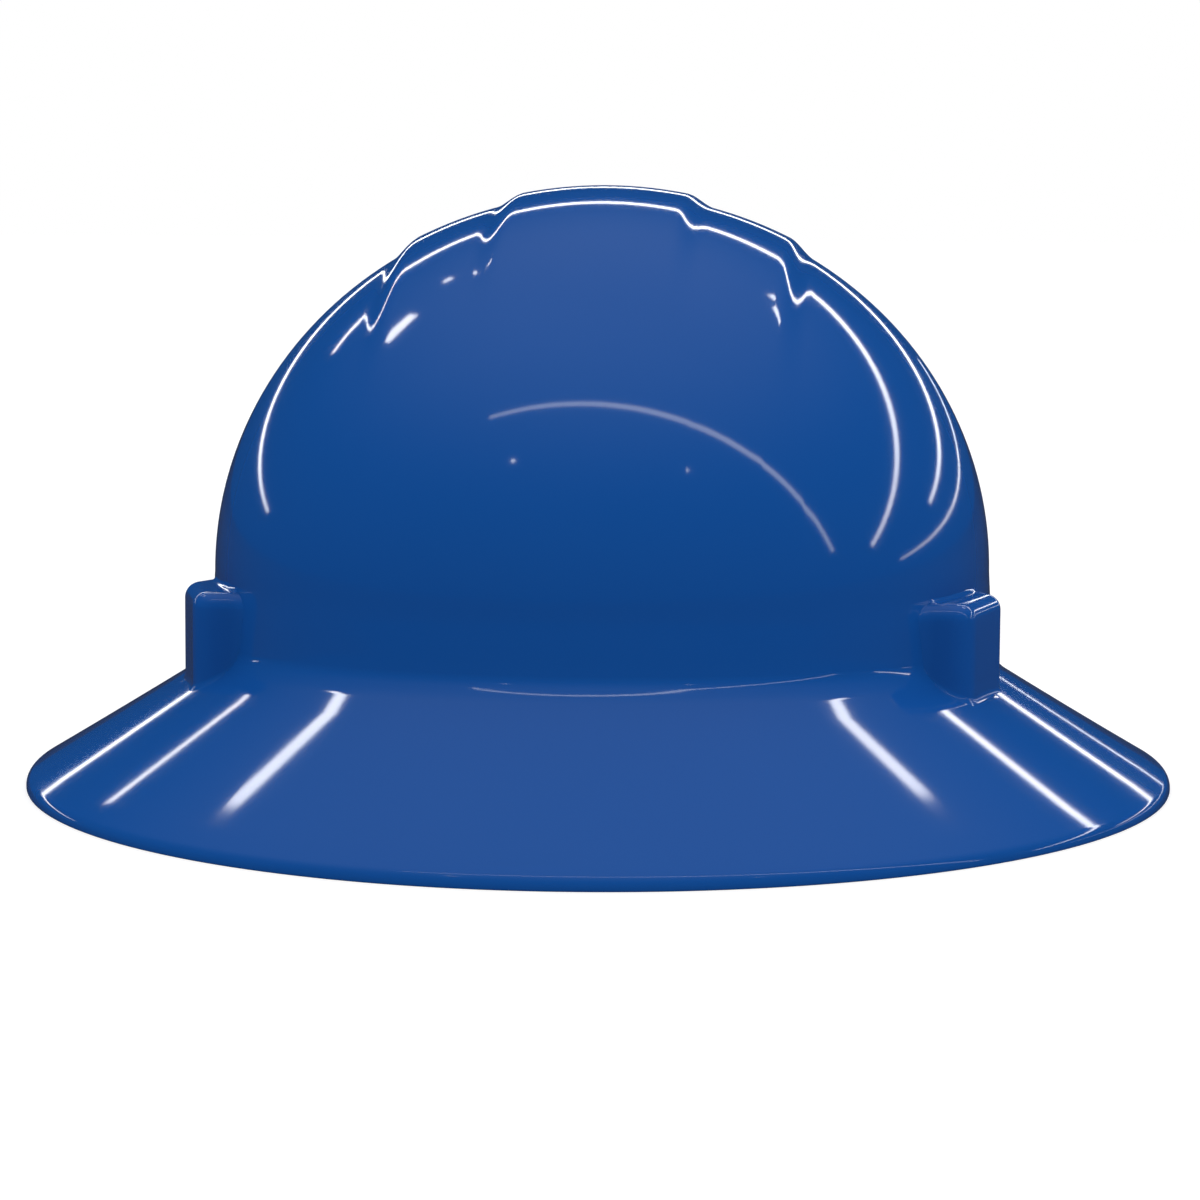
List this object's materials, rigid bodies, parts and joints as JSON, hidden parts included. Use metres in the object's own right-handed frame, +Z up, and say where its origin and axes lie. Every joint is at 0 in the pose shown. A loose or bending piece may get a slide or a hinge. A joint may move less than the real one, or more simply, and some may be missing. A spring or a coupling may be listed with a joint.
{
  "type": "full brim hard hat",
  "caption": "Full brim hard hat in gloss blue plastic with stepped ridges, side accessory slots and a four point ratchet suspension.",
  "frame": {"origin": "centre of the rim's rest plane, half way along the brim's length and width", "axes": "+Z up from the rim to the crown, -Y toward the front of the hat, +X to the right as seen from the front, where left and right in the names are also taken from"},
  "size_m": [0.306, 0.3412, 0.1585],
  "materials": {
    "shell_plastic": "gloss blue",
    "black_plastic": "fine matte",
    "key_plastic": "satin",
    "grip_rubber": "matte",
    "strap_webbing": "woven",
    "pad_fabric": "brushed",
    "gear_plastic": "natural nylon",
    "screw_steel": "zinc plated"
  },
  "bodies": {
    "hat": {"shell": "shell_plastic", "suspension_key_front_left": "key_plastic", "suspension_key_front_right": "key_plastic", "suspension_key_rear_left": "key_plastic", "suspension_key_rear_right": "key_plastic", "crown_strap_lower": "strap_webbing", "crown_strap_upper": "strap_webbing"},
    "head_ring": {"headband": "black_plastic", "brow_pad": "pad_fabric", "strap_arm_left": "black_plastic", "strap_arm_right": "black_plastic", "arm_rivets": "black_plastic"},
    "ratchet_housing": {"ratchet_outer_cover": "black_plastic", "ratchet_inner_cover": "black_plastic", "nape_pad": "pad_fabric"},
    "knob": {"adjustment_knob": "black_plastic", "knob_grip": "grip_rubber", "ratchet_pinion": "gear_plastic", "click_pawl": "gear_plastic", "pinion_screw": "screw_steel"},
    "right_strap_end": {"ratchet_strap_right": "black_plastic"},
    "left_strap_end": {"ratchet_strap_left": "black_plastic"}
  },
  "joints": [
    {"name": "headband_height", "type": "slide", "parent": "hat", "child": "head_ring", "axis": [0, 0, 1], "range_m": [-0.004, 0.004]},
    {"name": "nape_slide", "type": "slide", "parent": "head_ring", "child": "ratchet_housing", "axis": [0, -1, 0], "range_m": [-0.0133, 0.0166], "deforming": ["strap_arm_left", "strap_arm_right"]},
    {"name": "knob_turn", "type": "hinge", "parent": "ratchet_housing", "child": "knob", "pos_m": [0, 0.1091, 0.027], "axis": [0, -1, 0], "range_deg": [-160, 200]},
    {"name": "right_strap_draw", "type": "hinge", "parent": "ratchet_housing", "child": "right_strap_end", "pos_m": [0, 0.0251, 0.027], "axis": [0, 0, 1], "range_deg": [-14.58, 18.21]},
    {"name": "left_strap_draw", "type": "hinge", "parent": "ratchet_housing", "child": "left_strap_end", "pos_m": [0, 0.0251, 0.027], "axis": [0, 0, 1], "range_deg": [-18.74, 15]}
  ],
  "couplings": [
    {"joint": "nape_slide", "follows": "knob_turn", "m_per_rad": 0.0047},
    {"joint": "right_strap_draw", "follows": "knob_turn", "ratio": 0.090791},
    {"joint": "left_strap_draw", "follows": "knob_turn", "ratio": -0.093458}
  ]
}
